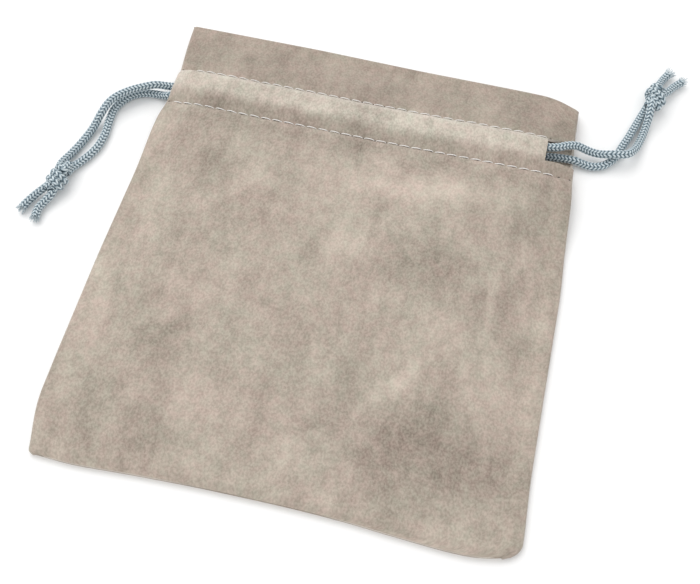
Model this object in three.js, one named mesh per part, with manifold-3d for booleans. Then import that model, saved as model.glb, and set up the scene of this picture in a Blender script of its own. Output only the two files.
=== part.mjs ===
// Drawstring gift pouch lying flat, mouth towards +Y, +Z up, millimetres.
// Two cloth panels with turned-in mouth hems, their stitching, and two cords tied in knots.
import * as THREE from 'three';
import { mergeVertices } from 'three/addons/utils/BufferGeometryUtils.js';
import ManifoldModule from 'manifold-3d';

const BODY_WIDTH = 118;
const MOUTH_WIDTH = BODY_WIDTH - 4;
const PANEL_LENGTH = 133;
const CLOTH = 0.6;
const LAYER_GAP = 0.3;
const CORNER_RADIUS = 4;

const CORD = 2.35;
const CORD_CLEARANCE = 0.15;
const CORD_SIDES = 8;
const CORD_SPACING = 0.4;

const CASING_BELOW_MOUTH = 30;
const CASING_SPARE = 4.75;
const CASING_WIDTH = 3 * CORD + CASING_SPARE;
const SIDE_RISE = 1.4;
const HEM_TAIL = 3.5;
const FRONT_SETBACK = 1.3;
const FOLD_SPACING = CLOTH + LAYER_GAP;

const CASING_CROWN = 1.6;
const CASING_SLOPE = 2.9;
const BODY_FADE = 27;
const CASING_FADE = 11;
const END_FADE = 6.5;
const END_CLEARANCE = 0.3;
const ROW_LIFT = 0.75;

// The free ends are drawn for this cord and cloth at the slots of a 114 mm mouth. They grow with the cord.
const DRAWN_CORD = 2.35;
const DRAWN_CLOTH = 0.6;
const DRAWN_SLOT = [57, 42.4];
const DRAWN_FRONT_Z = 6.6;
const DRAWN_BACK_Z = 2.1;
const GROWN = CORD / DRAWN_CORD;
const SLOT_DEPTH = 7 * GROWN;
const SLOT_BELOW = 3.6 * GROWN;
const SLOT_ABOVE = 8.2 * GROWN;
const SLOT_EASE = 5 * GROWN;
const RIGHT_HEM_DEPTH = 15.5;
const LEFT_HEM_DEPTH = 11;
const HEM_SLOT = 0.9;

const NEEDLE_THREAD = 0.4;
const SEAM_THREAD = 0.2;
const SEAM_INSET = 1.4;
const NEEDLE_INSET = 4.2;
const BOBBIN_INSET = 16.5;
const SLOT_TO_STITCH = 0.8;

const CASING_LOW = PANEL_LENGTH / 2 - CASING_BELOW_MOUTH;
const CASING_HIGH = CASING_LOW + CASING_WIDTH;
const CASING_MIDDLE = CASING_LOW + CASING_WIDTH / 2;
const BOTTOM = -PANEL_LENGTH / 2;
const BACK_FOLD = PANEL_LENGTH / 2;
const FRONT_FOLD = BACK_FOLD - FRONT_SETBACK;

// Middle heights of the cloth layers, from the resting surface upwards.
const TUNNEL = CORD + 2 * CORD_CLEARANCE;
const BACK_OUTER = CLOTH / 2;
const BACK_HEM_CREST = BACK_OUTER + CLOTH + TUNNEL;
const FRONT_HEM_CREST = BACK_HEM_CREST + FOLD_SPACING;
const FRONT_CREST = FRONT_HEM_CREST + CLOTH + TUNNEL;
const PILLOW_HEIGHT = FRONT_CREST - CASING_CROWN;
const BACK_CORD_Z = BACK_OUTER + (CLOTH + TUNNEL) / 2;
const FRONT_CORD_Z = FRONT_HEM_CREST + (CLOTH + TUNNEL) / 2;
const SIDE_FRONT_OUTER = BACK_OUTER + ROW_LIFT + 3 * FOLD_SPACING;
const SIDE_BODY_FRONT = BACK_OUTER + FOLD_SPACING;
const END_PUFF = BACK_OUTER + CLOTH + 1.5 * CORD + END_CLEARANCE - SIDE_FRONT_OUTER;

const SUEDE = { color: 0xbdb0a2, roughness: 0.95, metalness: 0 };
const SUEDE_BACK = { color: 0xb8ab9d, roughness: 0.95, metalness: 0 };
const THREAD = { color: 0xe6ddce, roughness: 0.8, metalness: 0 };
const SEAM = { color: 0x9c8f80, roughness: 0.85, metalness: 0 };
const YARN = { color: 0x9fb4c2, roughness: 0.85, metalness: 0 };
const YARN_KNOT = { color: 0x96abba, roughness: 0.85, metalness: 0 };
const YARN_TAIL = { color: 0xb4c4ce, roughness: 0.9, metalness: 0 };

const wasm = await ManifoldModule();
wasm.setup();

// ---------- helpers ----------

function smooth(t) {
  const c = Math.min(Math.max(t, 0), 1);
  return c * c * (3 - 2 * c);
}

function mix(a, b, t) {
  return a + (b - a) * t;
}

function mesh(name, geometry, look) {
  const body = new THREE.Mesh(geometry, new THREE.MeshStandardMaterial(look));
  body.name = name;
  return body;
}

function toManifold(geometry) {
  const bare = geometry.clone();
  bare.deleteAttribute('normal');
  bare.deleteAttribute('uv');
  const merged = mergeVertices(bare, 1e-4);
  return new wasm.Manifold(new wasm.Mesh({
    numProp: 3,
    vertProperties: new Float32Array(merged.attributes.position.array),
    triVerts: new Uint32Array(merged.index.array),
  }));
}

function fromManifold(solid) {
  const out = solid.getMesh();
  const geometry = new THREE.BufferGeometry();
  geometry.setAttribute('position', new THREE.BufferAttribute(out.vertProperties, 3));
  geometry.setIndex(new THREE.BufferAttribute(out.triVerts, 1));
  geometry.computeVertexNormals();
  return geometry;
}

function boxBetween(low, high) {
  const size = high.map((v, k) => v - low[k]);
  const box = new THREE.BoxGeometry(...size);
  box.translate(...low.map((v, k) => v + size[k] / 2));
  return box;
}

function tube(points, diameter, spacing, sides) {
  const curve = new THREE.CatmullRomCurve3(points.map((p) => new THREE.Vector3(...p)), false, 'centripetal');
  const ring = [];
  for (let k = 0; k < sides; k += 1) {
    const angle = (2 * Math.PI * k) / sides;
    ring.push(new THREE.Vector2((diameter / 2) * Math.cos(angle), (diameter / 2) * Math.sin(angle)));
  }
  return new THREE.ExtrudeGeometry(new THREE.Shape(ring), {
    steps: Math.max(Math.round(curve.getLength() / spacing), 2),
    bevelEnabled: false,
    extrudePath: curve,
  });
}

// ---------- cloth panels ----------

// The outline: a little narrower at the mouth, with rounded bottom corners.
function halfWidth(y) {
  const straight = mix(BODY_WIDTH, MOUTH_WIDTH, smooth(y / 30)) / 2;
  const fromBottom = Math.min(y - BOTTOM, CORNER_RADIUS);
  const missing = CORNER_RADIUS - fromBottom;
  return straight - CORNER_RADIUS + Math.sqrt(Math.max(CORNER_RADIUS ** 2 - missing ** 2, 0));
}

// 1 in the middle of the pouch, falling to 0 at its side seams.
function fullness(x, y) {
  const fade = mix(CASING_FADE, BODY_FADE, smooth((CASING_LOW - 3 - y) / 23));
  return smooth((halfWidth(y) - Math.abs(x)) / fade);
}

// 0 on both stitch rows, 1 over the middle of the casing.
function puff(v) {
  return smooth(((1 - Math.abs(v)) * CASING_WIDTH) / 2 / CASING_SLOPE);
}

// The casing flattens towards both of its ends.
function endPuff(x) {
  return smooth((MOUTH_WIDTH / 2 + 0.5 - Math.abs(x)) / END_FADE);
}

// Each station across the cloth is one line along X. It returns the height of the cloth's middle there.
function frontHeights(x, y, v) {
  const full = fullness(x, y);
  if (v !== null) {
    const outerRow = mix(SIDE_FRONT_OUTER, PILLOW_HEIGHT, full);
    const hemRow = outerRow - FOLD_SPACING;
    const crest = mix(outerRow + END_PUFF, FRONT_CREST, endPuff(x));
    const hemCrest = mix(hemRow, FRONT_HEM_CREST, endPuff(x));
    return [mix(outerRow, crest, puff(v)), mix(hemRow, hemCrest, puff(v))];
  }
  if (y > CASING_MIDDLE) {
    const top = (y - CASING_HIGH) / (FRONT_FOLD - CASING_HIGH);
    const sag = mix(PILLOW_HEIGHT, SIDE_FRONT_OUTER, smooth(top * 1.1));
    const outer = mix(SIDE_FRONT_OUTER, sag, full);
    return [outer, outer - FOLD_SPACING];
  }
  const side = mix(SIDE_BODY_FRONT, SIDE_FRONT_OUTER, smooth((y - 12) / (CASING_LOW - HEM_TAIL - 12)));
  const rise = Math.sin((Math.PI / 2) * Math.min((y - BOTTOM) / (CASING_LOW - 4 - BOTTOM), 1));
  const middle = mix(SIDE_BODY_FRONT, PILLOW_HEIGHT, rise);
  const outer = mix(side, Math.max(middle, side), full);
  return [outer, outer - FOLD_SPACING];
}

function backHeights(x, y, v) {
  const lift = ROW_LIFT * Math.max(0, 1 - Math.min(Math.abs(y - CASING_LOW), Math.abs(y - CASING_HIGH)) / 3);
  if (v !== null) {
    const outer = BACK_OUTER + ROW_LIFT * (1 - puff(v));
    const hemRow = BACK_OUTER + ROW_LIFT + FOLD_SPACING;
    return [outer, mix(hemRow, mix(hemRow, BACK_HEM_CREST, endPuff(x)), puff(v))];
  }
  return [BACK_OUTER + lift, BACK_OUTER + lift + FOLD_SPACING];
}

// Stations run from the bottom edge up the outer cloth, round the mouth fold and down the hem inside.
function stations(fold) {
  const list = [];
  const bodySteps = 10;
  for (const d of [0, 0.6, 2]) {
    list.push({ y: BOTTOM + d, v: null, layer: 0 });
  }
  for (let k = 0; k <= bodySteps; k += 1) {
    const low = BOTTOM + CORNER_RADIUS;
    list.push({ y: mix(low, CASING_LOW - HEM_TAIL, k / bodySteps), v: null, layer: 0 });
  }
  const across = [-1, -0.85, -0.65, -0.35, 0, 0.35, 0.65, 0.85, 1];
  const header = [0.18, 0.42, 0.7, 1];
  const headerAt = (h) => mix(CASING_HIGH, fold - FOLD_SPACING, h);
  across.forEach((v) => list.push({ y: CASING_MIDDLE + (v * CASING_WIDTH) / 2, v, layer: 0 }));
  header.forEach((h) => list.push({ y: headerAt(h), v: null, layer: 0 }));
  [0.25, 0.5, 0.75].forEach((turn) => list.push({ y: headerAt(1), v: null, layer: 0, turn }));
  header.reverse().forEach((h) => list.push({ y: headerAt(h), v: null, layer: 1 }));
  across.reverse().forEach((v) => list.push({ y: CASING_MIDDLE + (v * CASING_WIDTH) / 2, v, layer: 1 }));
  list.push({ y: CASING_LOW - HEM_TAIL, v: null, layer: 1 });
  return list;
}

// How far out the cloth goes at one station. The hems stop short at both slots, where the cords turn.
function reach(station, s) {
  const wide = halfWidth(station.y);
  if (station.layer === 1 && station.v !== null && Math.abs(station.v) < HEM_SLOT) {
    return s * (wide - (s < 0 ? LEFT_HEM_DEPTH : RIGHT_HEM_DEPTH));
  }
  return s * wide;
}

// Where the middle of the cloth is at one station, for a place s from -1 to 1 across it.
function clothPoint(station, s, heights) {
  const x = reach(station, s);
  const levels = heights(x, station.y, station.v);
  const nearCasing = smooth(1 - Math.abs(station.y - CASING_MIDDLE) / 20);
  const y = station.y + SIDE_RISE * nearCasing * (1 - fullness(x, station.y));
  if (station.turn === undefined) {
    return new THREE.Vector3(x, y, levels[station.layer]);
  }
  const angle = Math.PI * station.turn;
  const middle = (levels[0] + levels[1]) / 2;
  const radius = (levels[0] - levels[1]) / 2;
  return new THREE.Vector3(x, y + Math.abs(radius) * Math.sin(angle), middle + radius * Math.cos(angle));
}

// side is +1 for a panel whose hem lies below it, and -1 for one whose hem lies above it.
function hemmedPanel(fold, heights, side) {
  const list = stations(fold);
  const acrossSteps = 14;
  const geometry = new THREE.BoxGeometry(1, 1, 1, acrossSteps, list.length - 1, 1);
  const at = geometry.attributes.position;
  for (let k = 0; k < at.count; k += 1) {
    const s = Math.sin(Math.PI * at.getX(k));
    const n = Math.round((at.getY(k) + 0.5) * (list.length - 1));
    const here = clothPoint(list[n], s, heights);
    const before = clothPoint(list[Math.max(n - 1, 0)], s, heights);
    const after = clothPoint(list[Math.min(n + 1, list.length - 1)], s, heights);
    const along = after.sub(before).setX(0).normalize();
    const outward = new THREE.Vector3(0, -along.z, along.y).multiplyScalar(side);
    here.addScaledVector(outward, Math.sign(at.getZ(k)) * side * (CLOTH / 2));
    at.setXYZ(k, here.x, here.y, here.z);
  }
  return geometry;
}

// The right slot is a notch through the front cloth's casing.
function frontPanel() {
  const right = MOUTH_WIDTH / 2;
  const notch = boxBetween(
    [right - SLOT_DEPTH, CASING_MIDDLE - SLOT_BELOW, 1],
    [right + 3, CASING_MIDDLE + SLOT_ABOVE, FRONT_CREST + 3],
  );
  const cloth = toManifold(hemmedPanel(FRONT_FOLD, frontHeights, 1));
  return mesh('front_panel', fromManifold(cloth.subtract(toManifold(notch))), SUEDE);
}

function backPanel() {
  return mesh('back_panel', hemmedPanel(BACK_FOLD, backHeights, -1), SUEDE_BACK);
}

// ---------- stitching ----------

function rowThread(name, rowY, v, heights, layer, side, leftInset, rightInset) {
  const points = [];
  const steps = 20;
  const [left, right] = [leftInset, rightInset].map((inset) => 1 - (2 * inset) / MOUTH_WIDTH);
  const off = (CLOTH / 2 + NEEDLE_THREAD / 2 + 0.3) * side;
  for (let k = 0; k <= steps; k += 1) {
    const s = mix(-left, right, (1 + Math.sin(Math.PI * (k / steps - 0.5))) / 2);
    const p = clothPoint({ y: rowY, v, layer }, s, heights);
    points.push([p.x, p.y, p.z + off]);
  }
  return mesh(name, tube(points, NEEDLE_THREAD, 4.5, 6), THREAD);
}

function stitchRows() {
  const rows = new THREE.Group();
  const kinds = [['lower', CASING_LOW, -1], ['upper', CASING_HIGH, 1]];
  const outer = [NEEDLE_INSET, NEEDLE_INSET];
  const slotted = [NEEDLE_INSET, SLOT_DEPTH + SLOT_TO_STITCH];
  const inner = [BOBBIN_INSET, BOBBIN_INSET];
  for (const [place, y, v] of kinds) {
    rows.add(rowThread(`front_${place}_row_needle_thread`, y, v, frontHeights, 0, 1, ...slotted));
    rows.add(rowThread(`front_${place}_row_bobbin_thread`, y, v, frontHeights, 1, -1, ...inner));
    rows.add(rowThread(`back_${place}_row_needle_thread`, y, v, backHeights, 0, -1, ...outer));
    rows.add(rowThread(`back_${place}_row_bobbin_thread`, y, v, backHeights, 1, 1, ...inner));
  }
  return rows;
}

function seamThreads() {
  const seams = new THREE.Group();
  const z = BACK_OUTER + FOLD_SPACING / 2;
  const side = (sign, y) => [sign * (halfWidth(y) - SEAM_INSET), y, z];
  const high = CASING_LOW - HEM_TAIL - 1;
  const low = BOTTOM + CORNER_RADIUS + 2;
  const bottom = BOTTOM + SEAM_INSET;
  const corner = BODY_WIDTH / 2 - CORNER_RADIUS - 2;
  const turn = (sign) => [sign * (BODY_WIDTH / 2 - 2.6), BOTTOM + 2.6, z];
  const left = [high, 15, 0, -30, low].map((y) => side(-1, y));
  const right = [low, -30, 0, 15, high].map((y) => side(1, y));
  const base = [[-corner, bottom, z], [0, bottom, z], [corner, bottom, z]];
  const path = [...left, turn(-1), ...base, turn(1), ...right];
  seams.add(mesh('side_and_bottom_seam_thread', tube(path, SEAM_THREAD, 5, 6), SEAM));
  for (const [name, sign] of [['left', -1], ['right', 1]]) {
    const x = sign * (MOUTH_WIDTH / 2 - SEAM_INSET);
    const level = BACK_OUTER + 1.5 * FOLD_SPACING;
    const ends = [[x, CASING_HIGH + 4.5, level], [x, CASING_HIGH + 9, level], [x, FRONT_FOLD - 2, level]];
    seams.add(mesh(`${name}_header_seam_thread`, tube(ends, SEAM_THREAD, 4, 6), SEAM));
  }
  return seams;
}

// ---------- cords ----------

const LEFT_FRONT_Y = CASING_MIDDLE - 0.2;
const LEFT_BACK_Y = CASING_MIDDLE - 1.6;
const RIGHT_Y = LEFT_FRONT_Y + CORD + CORD_SPACING;
const BIGHT_INSET_LEFT = 5;
const BIGHT_INSET_RIGHT = 9.8;
const BIGHT_MIDDLE_Z = (FRONT_CORD_Z + BACK_CORD_Z) / 2;

function placed([x, y, z]) {
  const side = Math.sign(x);
  return [
    side * (MOUTH_WIDTH / 2 + (Math.abs(x) - DRAWN_SLOT[0]) * GROWN),
    CASING_MIDDLE + (y - DRAWN_SLOT[1]) * GROWN,
    z * GROWN,
  ];
}

// Near a slot the run goes from its tunnel, whose height it was drawn at, to the height of its free end.
function nearSlot(points, tunnelZ, drawnZ) {
  return points.map(([x, y, z]) => {
    const [toX, toY, toZ] = placed([x, y, z]);
    const inside = smooth((DRAWN_SLOT[0] - Math.abs(x)) / SLOT_EASE);
    return [toX, toY, mix(toZ + CLOTH - DRAWN_CLOTH, z + tunnelZ - drawnZ, inside)];
  });
}

// Each cord goes right round the mouth: through one casing, round the far slot and back through the other.
function casingRun(nearX, farX, frontY, backY) {
  const way = Math.sign(farX - nearX);
  const quarter = (FRONT_CORD_Z - BACK_CORD_Z) / 4;
  const points = [];
  for (const f of [0, 0.33, 0.66, 1]) {
    points.push([mix(nearX, farX - way * 8, f), frontY, FRONT_CORD_Z]);
  }
  points.push([farX - way * 3.6, mix(frontY, backY, 0.1), FRONT_CORD_Z - 0.1]);
  points.push([farX - way * 0.8, mix(frontY, backY, 0.3), BIGHT_MIDDLE_Z + quarter * 1.1]);
  points.push([farX, mix(frontY, backY, 0.5), BIGHT_MIDDLE_Z]);
  points.push([farX - way * 0.8, mix(frontY, backY, 0.7), BIGHT_MIDDLE_Z - quarter * 1.1]);
  points.push([farX - way * 3.6, mix(frontY, backY, 0.9), BACK_CORD_Z + 0.1]);
  for (const f of [1, 0.66, 0.33, 0]) {
    points.push([mix(nearX, farX - way * 8, f), backY, BACK_CORD_Z]);
  }
  return points;
}

function rightCordRun() {
  const front = [[59.4, 49.2, 3.4], [57, 48.9, 4.5], [54.4, 47.7, 5.6], [52, 46.2, 6.3], [49.6, 45.4, 6.6]];
  const back = [[50, 45.3, 2.1], [54, 45.6, 2.2], [57.4, 45.6, 2.2], [59.4, 45.5, 1.75]];
  const far = -MOUTH_WIDTH / 2 + BIGHT_INSET_LEFT;
  return [
    ...nearSlot(front, FRONT_CORD_Z, DRAWN_FRONT_Z),
    ...casingRun(MOUTH_WIDTH / 2 - 12, far, RIGHT_Y, RIGHT_Y),
    ...nearSlot(back, BACK_CORD_Z, DRAWN_BACK_Z),
  ];
}

function leftCordRun() {
  const front = [
    [-59.4, 43.5, 3], [-57.3, 43.9, 2.5], [-55.4, 43.6, 3.2], [-54, 43.1, 3.9],
    [-52.6, 42.4, 4.8], [-51, 42.2, 5.7], [-49, 42.2, 6.4],
  ];
  const back = [[-54.5, 40.8, 2.2], [-57.4, 40.7, 2.4], [-59.4, 40.9, 1.7]];
  const far = MOUTH_WIDTH / 2 - BIGHT_INSET_RIGHT;
  return [
    ...nearSlot(front, FRONT_CORD_Z, DRAWN_FRONT_Z),
    ...casingRun(-MOUTH_WIDTH / 2 + 10.5, far, LEFT_FRONT_Y, LEFT_BACK_Y),
    ...nearSlot(back, BACK_CORD_Z, DRAWN_BACK_Z),
  ];
}

const RIGHT_FRONT_END = [
  [60, 49.2, 3.1], [61.7, 49.1, 2.7], [64, 48.8, 3], [66.8, 48.7, 4], [70.5, 49.7, 3.8], [73.1, 53.4, 2.2],
  [74.6, 58.1, 1.3], [75.5, 62.8, 1.8], [75.7, 65.6, 3.4], [75.7, 68, 4.1],
];
const RIGHT_BACK_END = [
  [60, 45.5, 1.5], [62.6, 45.5, 1.2], [65.5, 46.6, 1.2], [67.5, 48.8, 1.2], [68.6, 50.8, 1.2],
  [69.8, 54.2, 1.2], [71.1, 57.6, 1.2], [72.5, 61.8, 1.2], [73.7, 65.4, 1.2], [74.6, 68, 1.3],
];
const LEFT_FRONT_END = [
  [-60, 43.3, 2.9], [-61.6, 42.7, 3.55], [-62.9, 42, 3.95], [-66, 40.2, 4.1], [-68.3, 38.7, 4.1], [-71.2, 36, 4.1],
  [-72.9, 33.4, 3.9], [-74.1, 29.6, 3.1], [-75.3, 25.4, 1.5], [-76.5, 20.8, 1.2],
  [-77.9, 16.2, 1.3], [-78.9, 11.9, 2.2],
];
const LEFT_BACK_END = [
  [-60, 41, 1.4], [-61.6, 41.1, 1.2], [-65.5, 40.6, 1.2], [-68.3, 39.2, 1.2], [-70.8, 36.2, 1.2],
  [-72, 32.9, 1.2], [-71.9, 28.6, 1.2], [-71.5, 24.4, 1.2], [-71.8, 20.2, 1.2], [-73, 16.7, 1.2],
  [-74.8, 13.4, 1.3], [-75.9, 11.4, 1.6],
];
const RIGHT_TAILS = [
  [[76.9, 76.1, 2.1], [78.5, 79.9, 1.4], [80, 82.6, 1.3]],
  [[80, 75.2, 2.2], [81.9, 78.3, 1.4], [83.9, 80.5, 1.3]],
];
const LEFT_TAILS = [
  [[-81, 2.6, 1.9], [-82.4, 0.6, 1.4], [-83.5, -1.6, 1.3], [-84.3, -3.8, 1.3]],
  [[-77.7, 0.6, 1.8], [-79.3, -1.2, 1.4], [-80, -3.4, 1.3], [-79.7, -6, 1.3]],
];

function cordSet(side, run, ends, tails, knotAt, knotSize, knotTurn) {
  const set = new THREE.Group();
  set.add(mesh(`${side}_cord_run`, tube(run, CORD, 5.5, CORD_SIDES), YARN));
  set.add(mesh(`${side}_cord_front_end`, tube(ends[0].map(placed), CORD, 3, CORD_SIDES), YARN));
  set.add(mesh(`${side}_cord_back_end`, tube(ends[1].map(placed), CORD, 3, CORD_SIDES), YARN));
  const knot = mesh(`${side}_cord_knot`, new THREE.SphereGeometry(1, 14, 10), YARN_KNOT);
  knot.scale.set(...knotSize.map((v) => (v * GROWN) / 2));
  knot.rotation.z = knotTurn;
  knot.position.set(...placed(knotAt));
  set.add(knot);
  tails.forEach((points, k) => {
    set.add(mesh(`${side}_cord_tail_${k + 1}`, tube(points.map(placed), CORD * 0.95, 2, CORD_SIDES), YARN_TAIL));
  });
  return set;
}

const part = new THREE.Group();
part.name = 'drawstring_pouch';
part.add(frontPanel());
part.add(backPanel());
part.add(stitchRows());
part.add(seamThreads());
part.add(cordSet('right', rightCordRun(), [RIGHT_FRONT_END, RIGHT_BACK_END], RIGHT_TAILS,
  [76.6, 72, 3], [7.6, 7, 5.4], 0.2));
part.add(cordSet('left', leftCordRun(), [LEFT_FRONT_END, LEFT_BACK_END], LEFT_TAILS,
  [-77.7, 6.2, 2.9], [6.4, 9.4, 5.2], 0.25));

export default part;
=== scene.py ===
import math
import random

import bmesh
import bpy
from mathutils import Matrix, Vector, noise


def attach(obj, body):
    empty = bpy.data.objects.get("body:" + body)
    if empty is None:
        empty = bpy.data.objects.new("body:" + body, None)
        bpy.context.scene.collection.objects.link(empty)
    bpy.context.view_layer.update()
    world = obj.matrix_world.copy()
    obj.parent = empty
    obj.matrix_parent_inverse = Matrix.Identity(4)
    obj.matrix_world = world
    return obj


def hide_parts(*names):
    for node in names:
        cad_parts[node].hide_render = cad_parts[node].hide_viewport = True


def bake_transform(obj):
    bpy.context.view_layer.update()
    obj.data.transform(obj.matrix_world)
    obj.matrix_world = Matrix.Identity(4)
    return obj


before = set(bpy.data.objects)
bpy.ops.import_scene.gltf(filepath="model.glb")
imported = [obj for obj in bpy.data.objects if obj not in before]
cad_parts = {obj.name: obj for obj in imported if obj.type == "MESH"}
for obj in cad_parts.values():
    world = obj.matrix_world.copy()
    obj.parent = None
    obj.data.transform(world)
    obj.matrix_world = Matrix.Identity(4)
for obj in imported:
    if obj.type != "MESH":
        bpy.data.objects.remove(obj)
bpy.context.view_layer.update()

MM = 0.001


# ---------------------------------------------------------------- table, light and camera
# The pouch lies on a white table top, under a big soft window behind it and to its left, with pale
# walls all round. It is seen from above its bottom edge.
TABLE_HALF = 1.6
EYE = Vector((0.03156, -0.10906, 0.20577))
AIM = Vector((0.00680, -0.00718, 0.0))
LENS = 46.29
WALL_LIGHT = 0.89
WINDOW_PLACE = Vector((-0.45, 0.42, 0.75))
WINDOW_SIZE = (1.0, 0.7)
WINDOW_WATTS = 4.4


def link(name, mesh):
    piece = bpy.data.objects.new(name, mesh)
    bpy.context.collection.objects.link(piece)
    return piece


def add_node(tree, kind, inputs=None, **settings):
    """A new node, with its settings, and its sockets either linked or given a value."""
    node = tree.nodes.new(kind)
    for setting, value in settings.items():
        setattr(node, setting, value)
    for socket, value in (inputs or {}).items():
        if isinstance(value, bpy.types.NodeSocket):
            tree.links.new(value, node.inputs[socket])
        else:
            node.inputs[socket].default_value = value
    return node


def new_finish(name, **sockets):
    """A material with a Principled shader whose own sockets hold every constant number."""
    finish = bpy.data.materials.new(name)
    finish.use_nodes = True
    shader = finish.node_tree.nodes["Principled BSDF"]
    for socket, value in sockets.items():
        shader.inputs[socket.replace("_", " ")].default_value = value
    return finish, finish.node_tree, shader


def math_node(tree, operation, first, second=0.0, third=0.0):
    return add_node(tree, "ShaderNodeMath", {0: first, 1: second, 2: third}, operation=operation).outputs[0]


def colour_mix(tree, factor, first, second, blend="MIX"):
    inputs = {0: factor, 6: first, 7: second}
    return add_node(tree, "ShaderNodeMix", inputs, data_type="RGBA", blend_type=blend).outputs[2]


def fade(tree, value, low, high, out_low=0.0, out_high=1.0):
    inputs = {"Value": value, "From Min": low, "From Max": high, "To Min": out_low, "To Max": out_high}
    return add_node(tree, "ShaderNodeMapRange", inputs, interpolation_type="SMOOTHSTEP").outputs[0]


table_finish, tree, shader = new_finish("white_table", Roughness=0.55, Specular_IOR_Level=0.2)
on_table = add_node(tree, "ShaderNodeTexCoord").outputs["Object"]
cloud = add_node(tree, "ShaderNodeTexNoise", {"Vector": on_table, "Scale": 6.0, "Detail": 2.0}).outputs["Fac"]
white = colour_mix(tree, cloud, (0.93, 0.93, 0.93, 1), (0.96, 0.96, 0.955, 1))
tree.links.new(white, shader.inputs["Base Color"])
bm = bmesh.new()
bmesh.ops.create_grid(bm, x_segments=2, y_segments=2, size=TABLE_HALF)
table_mesh = bpy.data.meshes.new("table")
bm.to_mesh(table_mesh)
bm.free()
table_mesh.materials.append(table_finish)
link("table", table_mesh)

walls = bpy.data.worlds.new("pale_walls")
walls.use_nodes = True
walls.node_tree.nodes["Background"].inputs["Color"].default_value = (1.0, 1.0, 1.0, 1)
walls.node_tree.nodes["Background"].inputs["Strength"].default_value = WALL_LIGHT
bpy.context.scene.world = walls
bpy.context.scene.view_settings.view_transform = "Standard"

window = bpy.data.lights.new("window", "AREA")
window.shape = "RECTANGLE"
window.size, window.size_y = WINDOW_SIZE
window.energy = WINDOW_WATTS
window_lamp = bpy.data.objects.new("window", window)
window_lamp.location = WINDOW_PLACE
window_lamp.rotation_euler = (-WINDOW_PLACE).to_track_quat("-Z", "Y").to_euler()
bpy.context.collection.objects.link(window_lamp)

lens = bpy.data.cameras.new("camera")
lens.lens, lens.sensor_width = LENS, 36.0
lens.clip_start = 0.01
camera = bpy.data.objects.new("camera", lens)
camera.location = EYE
camera.rotation_euler = (AIM - EYE).to_track_quat("-Z", "Y").to_euler()
bpy.context.collection.objects.link(camera)
bpy.context.scene.camera = camera


# ---------------------------------------------------------------- the two drawcords
# Each is one length of round braid, polyester yarn over a soft core. It goes right round the mouth
# through both casings, and both of its ends leave at the same slot to one overhand knot.
CORD = 2.35
KNOT_CORD, TAIL_CORD = CORD * 0.96, CORD * 0.95
BRAID_STEP = 0.15
BRAID_SIDES = 48
BRAID_PLAITS = 4
BRAID_PITCH = 1.02
BRAID_SLANT = 0.66
BRAID_RELIEF = 0.26
DIVE_WIDTH, DIVE_LEVEL = 0.06, 0.35
RIB_FLATNESS, RISE_FLATNESS = 0.75, 0.6
UV_ROUND, UV_LENGTH = 0.03, 300.0
INSIDE_X, SLOT_X = 45.0, 60.0
# Painted shade deep in the gaps between the plaits, painted highlight on their crowns, the yarn's own middle
# tone between.
YARN_GAP_PAINTED_SHADE, YARN_MIDDLE, YARN_CROWN_PAINTED_HIGHLIGHT = (0.022, 0.045, 0.062, 1), (0.23, 0.32, 0.375, 1), (0.66, 0.735, 0.765, 1)

RIGHT_FRONT_STRAND = [
    (76.3, 71.2, 3.5), (75.7, 68, 4.1), (75.7, 65.6, 3.4), (75.5, 62.8, 1.8), (74.6, 58.1, 1.3),
    (73.1, 53.4, 2.2), (70.5, 49.7, 3.8), (66.8, 48.7, 4), (64, 48.8, 3), (61.7, 49.1, 2.7),
    (59.7, 49.2, 3.15), (57, 48.9, 4.5), (54.4, 47.7, 5.32), (52, 46.2, 5.77), (49.6, 45.4, 6.07),
    (45, 44.95, 6.07),
]
RIGHT_BIGHT = [
    (16.3, 44.95, 6.08), (-13.7, 44.95, 6.08), (-44, 44.95, 6.08), (-48.4, 44.95, 5.98), (-51.2, 44.95, 5.14),
    (-52, 44.95, 4), (-51.2, 44.95, 2.86), (-48.4, 44.95, 2.02), (-44, 44.95, 1.93), (-13.7, 44.95, 1.93),
    (16.3, 44.95, 1.93),
]
RIGHT_BACK_STRAND = [
    (45, 44.95, 1.93), (50, 45.3, 1.93), (54, 45.6, 2.09), (57.4, 45.6, 2.2), (59.7, 45.5, 1.55),
    (62.6, 45.5, 1.2), (65.5, 46.6, 1.2), (67.5, 48.8, 1.2), (68.6, 50.8, 1.2), (69.8, 54.2, 1.2),
    (71.1, 57.6, 1.2), (72.5, 61.8, 1.2), (73.7, 65.4, 1.2), (74.6, 68, 1.3), (75.6, 71, 2),
]
LEFT_FRONT_STRAND = [
    (-78.6, 9.2, 3), (-78.9, 11.9, 2.2), (-77.9, 16.2, 1.3), (-76.5, 20.8, 1.2), (-75.3, 25.4, 1.5),
    (-74.1, 29.6, 3.1), (-72.9, 33.4, 3.9), (-71.2, 36, 4.1), (-68.3, 38.7, 4.1), (-66, 40.2, 4.1),
    (-62.9, 42, 3.95), (-61.6, 42.7, 3.55), (-59.7, 43.4, 2.85), (-57.3, 43.9, 2.5), (-55.4, 43.6, 3.07),
    (-54, 43.1, 3.56), (-52.6, 42.4, 4.3), (-51, 42.2, 5.17), (-49, 42.2, 5.88), (-46.5, 42.2, 6.07),
    (-45, 42.2, 6.07),
]
LEFT_BIGHT = [
    (-14.8, 42.2, 6.08), (14.8, 42.2, 6.08), (39.2, 42.2, 6.08), (43.6, 42.06, 5.98), (46.4, 41.78, 5.14),
    (47.2, 41.5, 4), (46.4, 41.22, 2.86), (43.6, 40.94, 2.02), (39.2, 40.8, 1.93), (14.8, 40.8, 1.93),
    (-14.8, 40.8, 1.93),
]
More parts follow.
